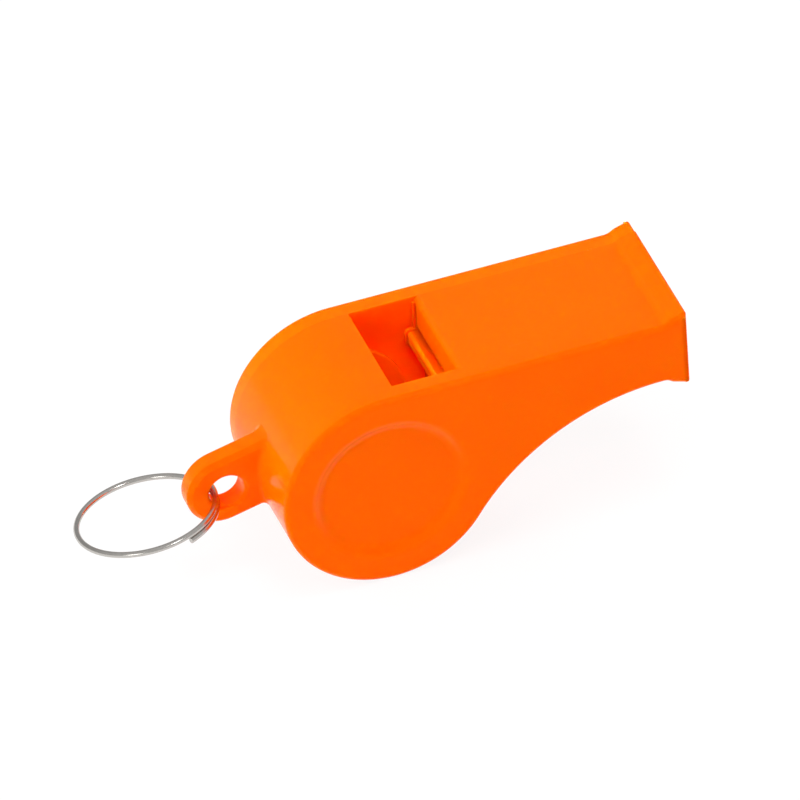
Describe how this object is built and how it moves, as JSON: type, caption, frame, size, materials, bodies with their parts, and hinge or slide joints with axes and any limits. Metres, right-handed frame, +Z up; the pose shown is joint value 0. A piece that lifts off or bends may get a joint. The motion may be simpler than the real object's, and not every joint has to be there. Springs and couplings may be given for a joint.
{
  "type": "pea whistle",
  "caption": "Moulded drum whistle with a sound window, a bite lip and a loose pea inside, carried on a wire split ring through its lug.",
  "frame": {"origin": "under the middle of the whole length, ring included, at the height of the drum's underside, midway between the two sides", "axes": "+X along the flat top towards the mouth, +Y along the drum's axis towards the welded side cover, +Z up through the window"},
  "size_m": [0.063, 0.017, 0.0235],
  "materials": {
    "orange_plastic": "injection-moulded, glossy",
    "cork": "ground agglomerated cork",
    "steel_wire": "bright plated spring wire"
  },
  "bodies": {
    "whistle": {"body_moulding": "orange_plastic", "side_cover": "orange_plastic"},
    "pea": {"pea": "cork"},
    "ring": {"split_ring": "steel_wire"}
  },
  "joints": [
    {"name": "pea_orbit", "type": "hinge", "parent": "whistle", "child": "pea", "pos_m": [-0.00081, 0, 0.0113], "axis": [0, 1, 0], "continuous": true},
    {"name": "ring_swing", "type": "hinge", "parent": "whistle", "child": "ring", "pos_m": [-0.01577, 0, 0.01062], "axis": [0, 1, 0], "range_deg": [-110, 118]}
  ]
}
